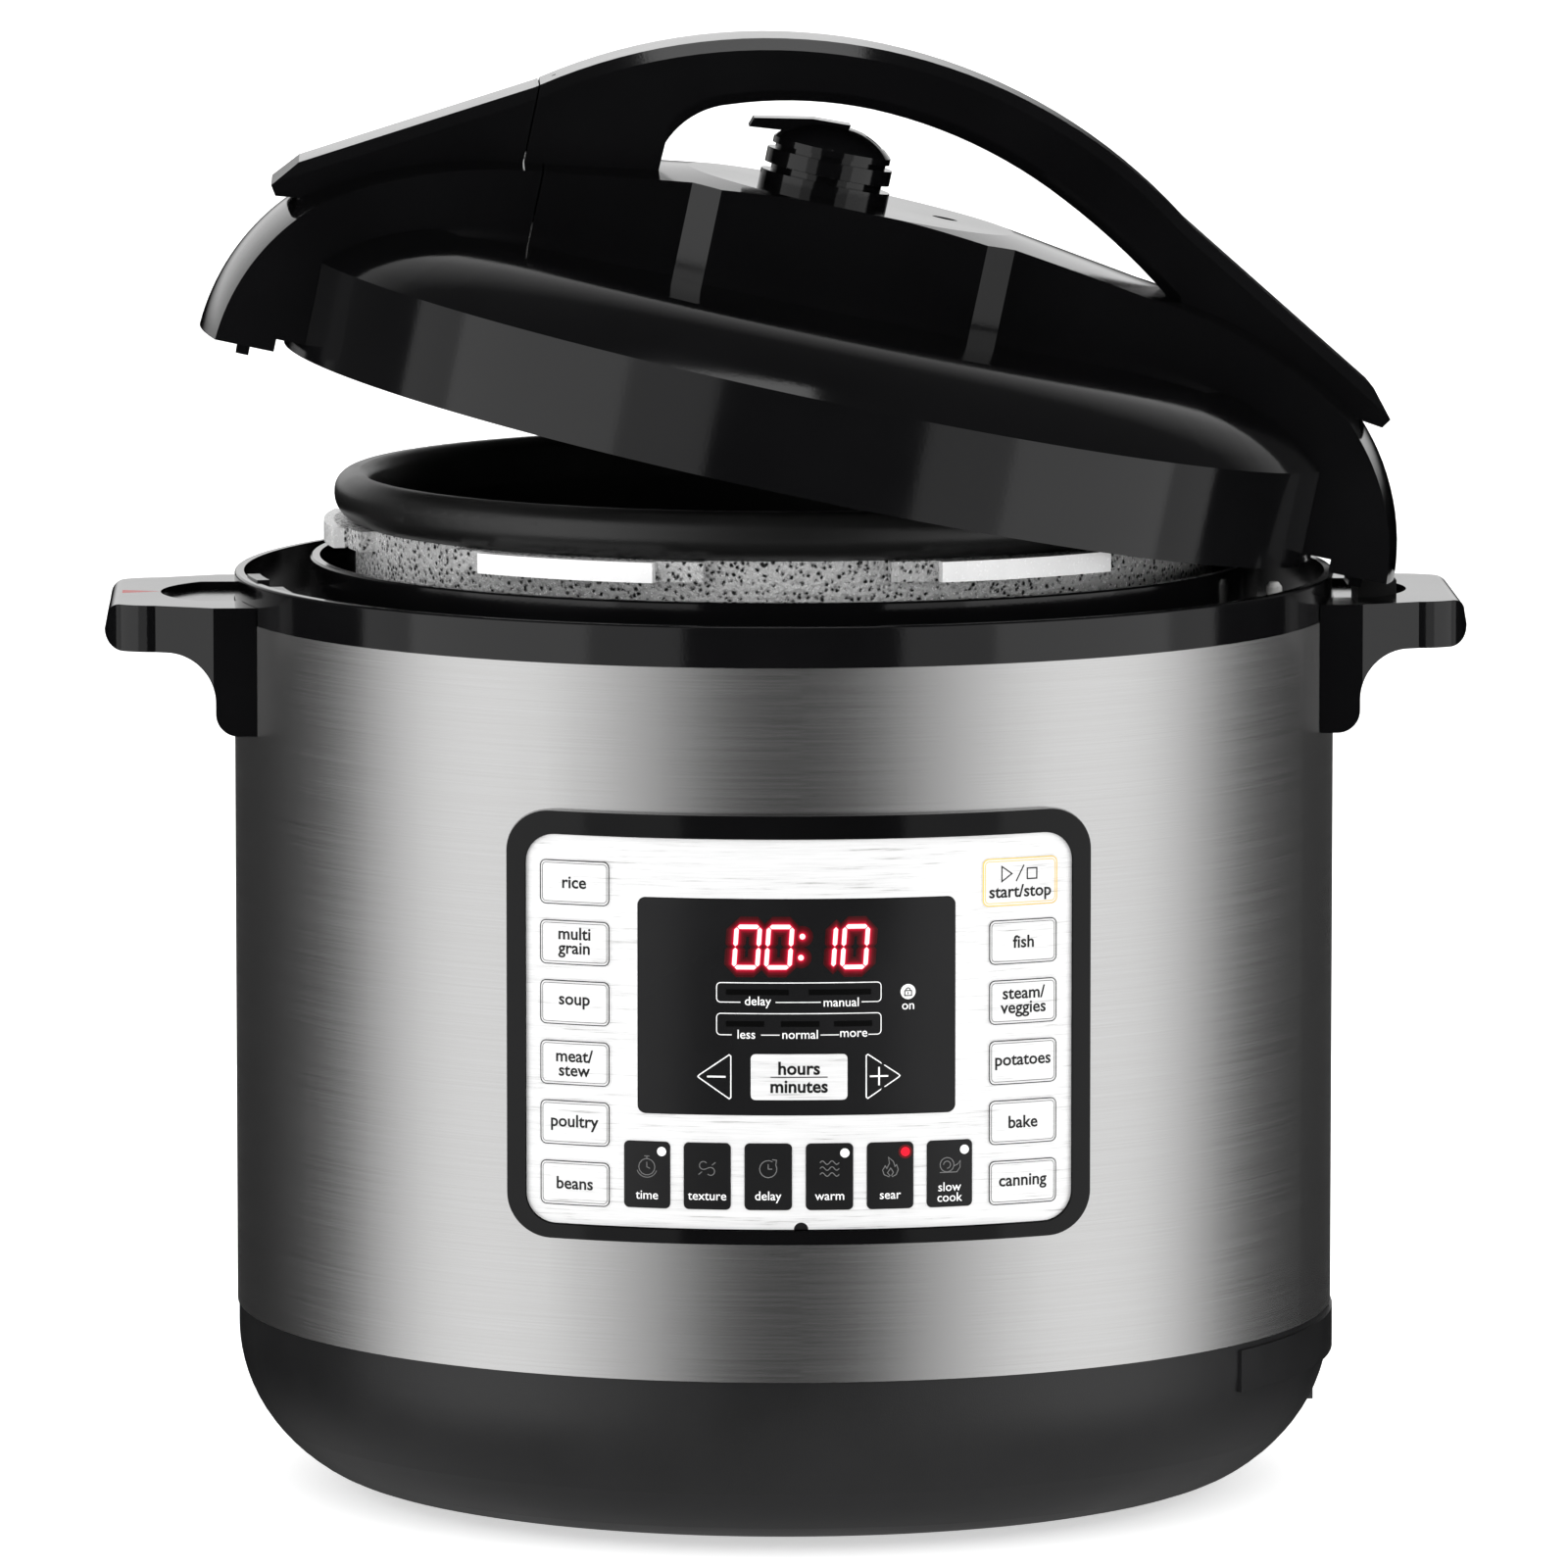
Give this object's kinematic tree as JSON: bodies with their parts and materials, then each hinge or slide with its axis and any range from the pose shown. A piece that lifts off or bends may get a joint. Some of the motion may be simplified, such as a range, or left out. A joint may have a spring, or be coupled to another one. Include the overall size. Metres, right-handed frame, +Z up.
{
  "type": "electric pressure cooker",
  "caption": "Round electric pressure cooker with a brushed steel casing, black lid propped open on the side handle, carry handles and a curved front keypad.",
  "frame": {"origin": "on the casing axis at the plane of the foot ring", "axes": "+Z up along the casing axis, -Y towards the front control panel, +X towards the handle that the open lid leans on"},
  "size_m": [0.424, 0.3746, 0.4539],
  "materials": {
    "gloss_black": "gloss",
    "satin_black": "satin",
    "shell_steel": "brushed",
    "bright_steel": "satin",
    "cast_aluminium": "textured cast",
    "element_tube": "dull",
    "nonstick": "satin non-stick coating",
    "silicone": "matt",
    "foot_rubber": "matt",
    "panel_face": "brushed print film",
    "panel_window": "gloss",
    "membrane": "matt",
    "circuit_board": "solder mask",
    "component_black": "matt",
    "socket_black": "matt",
    "contact_metal": "bright",
    "cup_clear": "clear",
    "white_plastic": "gloss",
    "red_mark": "gloss"
  },
  "bodies": {
    "base": {"base_screws": "bright_steel", "board_brackets": "bright_steel", "body_shell": "shell_steel", "bottom_cover": "satin_black", "buzzer": "component_black", "capacitors": "component_black", "control_board": "circuit_board", "cup_bracket": "gloss_black", "display_module": "component_black", "display_window": "panel_window", "foot_ring": "foot_rubber", "handle_arrow": "red_mark", "handle_screws": "bright_steel", "heat_shield": "bright_steel", "heating_element": "element_tube", "heating_plate": "cast_aluminium", "inlet_pins": "contact_metal", "inlet_socket": "socket_black", "inner_pot": "nonstick", "keypad_membrane": "membrane", "left_handle": "gloss_black", "lid_stop": "gloss_black", "lid_switch": "component_black", "outer_pot": "cast_aluminium", "panel_bezel": "gloss_black", "panel_overlay": "panel_face", "power_board": "circuit_board", "power_relay": "component_black", "pressure_switch": "component_black", "rest_pad": "foot_rubber", "right_handle": "gloss_black", "sensor_holder": "component_black", "sensor_spring": "bright_steel", "thermal_fuse": "component_black", "top_collar": "gloss_black", "transformer": "component_black", "vessel_supports": "bright_steel"},
    "sense_pin": {"lid_sense_pin": "white_plastic"},
    "sensor": {"temperature_sensor": "cast_aluminium"},
    "cup": {"condensation_cup": "cup_clear"},
    "seal": {"sealing_ring": "silicone"},
    "lid": {"lid_cover": "gloss_black", "lid_dome": "bright_steel", "seal_rack": "bright_steel", "lid_screws": "bright_steel", "lid_bridge": "gloss_black", "lid_bridge_end": "gloss_black", "handle_arch": "gloss_black", "handle_end": "gloss_black", "handle_pin": "bright_steel", "valve_base": "gloss_black", "exhaust_pipe": "bright_steel", "vent_filter": "bright_steel"},
    "steam_valve": {"valve_knob": "gloss_black"},
    "float": {"float_valve": "bright_steel", "float_gasket": "silicone"}
  },
  "joints": [
    {"name": "lid_tilt", "type": "hinge", "parent": "base", "child": "seal", "pos_m": [0.194, 0, 0.284], "axis": [0, 1, 0], "range_deg": [-12, 66]},
    {"name": "lid_turn", "type": "hinge", "parent": "seal", "child": "lid", "pos_m": [0.0084, 0, 0.3439], "axis": [0.2079, 0, 0.9781], "range_deg": [-30, 0]},
    {"name": "valve_turn", "type": "hinge", "parent": "lid", "child": "steam_valve", "pos_m": [0.01415, 0, 0.41424], "axis": [0.2079, 0, 0.9781], "range_deg": [-40, 40]},
    {"name": "float_rise", "type": "slide", "parent": "lid", "child": "float", "axis": [0.2079, 0, 0.9781], "range_m": [0, 0.004]},
    {"name": "sense_press", "type": "slide", "parent": "base", "child": "sense_pin", "axis": [0, 0, 1], "range_m": [-0.003, 0], "stiffness_N_per_m": 200, "springref_m": 0.001},
    {"name": "sensor_press", "type": "slide", "parent": "base", "child": "sensor", "axis": [0, 0, 1], "range_m": [-0.0015, 0], "stiffness_N_per_m": 1500, "springref_m": 0.002, "deforming": ["sensor_spring"]},
    {"name": "cup_slide", "type": "slide", "parent": "base", "child": "cup", "axis": [0, 1, 0], "range_m": [0, 0.03]}
  ]
}
